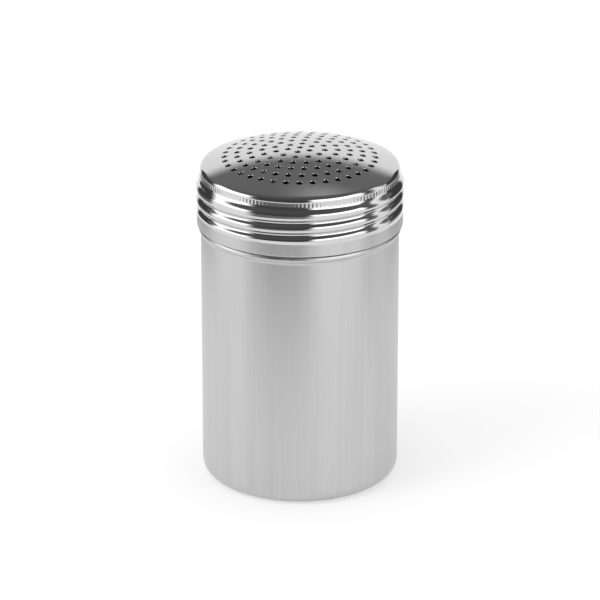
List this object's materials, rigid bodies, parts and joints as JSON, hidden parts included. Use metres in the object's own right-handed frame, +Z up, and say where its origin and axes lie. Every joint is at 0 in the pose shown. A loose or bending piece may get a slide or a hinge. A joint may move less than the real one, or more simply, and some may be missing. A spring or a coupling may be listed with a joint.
{
  "type": "screw-top spice shaker",
  "caption": "Steel spice shaker: a drawn cylindrical container and a perforated domed lid that screws down over its threaded neck.",
  "frame": {"origin": "centre of the foot, on the surface that the shaker stands on", "axes": "+Z up along the axis of the container and the thread; -Y is the front of the picture"},
  "size_m": [0.0696, 0.0696, 0.116],
  "materials": {
    "satin_steel": "satin, fine brushing up the wall",
    "polished_steel": "mirror polished stainless steel"
  },
  "bodies": {
    "container": {"container": "satin_steel"},
    "lid_rise": {"lid_hem": "satin_steel"},
    "lid": {"lid": "polished_steel"}
  },
  "joints": [
    {"name": "lid_lift", "type": "slide", "parent": "container", "child": "lid_rise", "axis": [0, 0, 1], "range_m": [0, 0.01575]},
    {"name": "lid_turn", "type": "hinge", "parent": "lid_rise", "child": "lid", "pos_m": [0, 0, 0.1], "axis": [0, 0, 1], "range_deg": [0, 1349.9]}
  ],
  "couplings": [
    {"joint": "lid_lift", "follows": "lid_turn", "m_per_rad": 0.00066845}
  ]
}
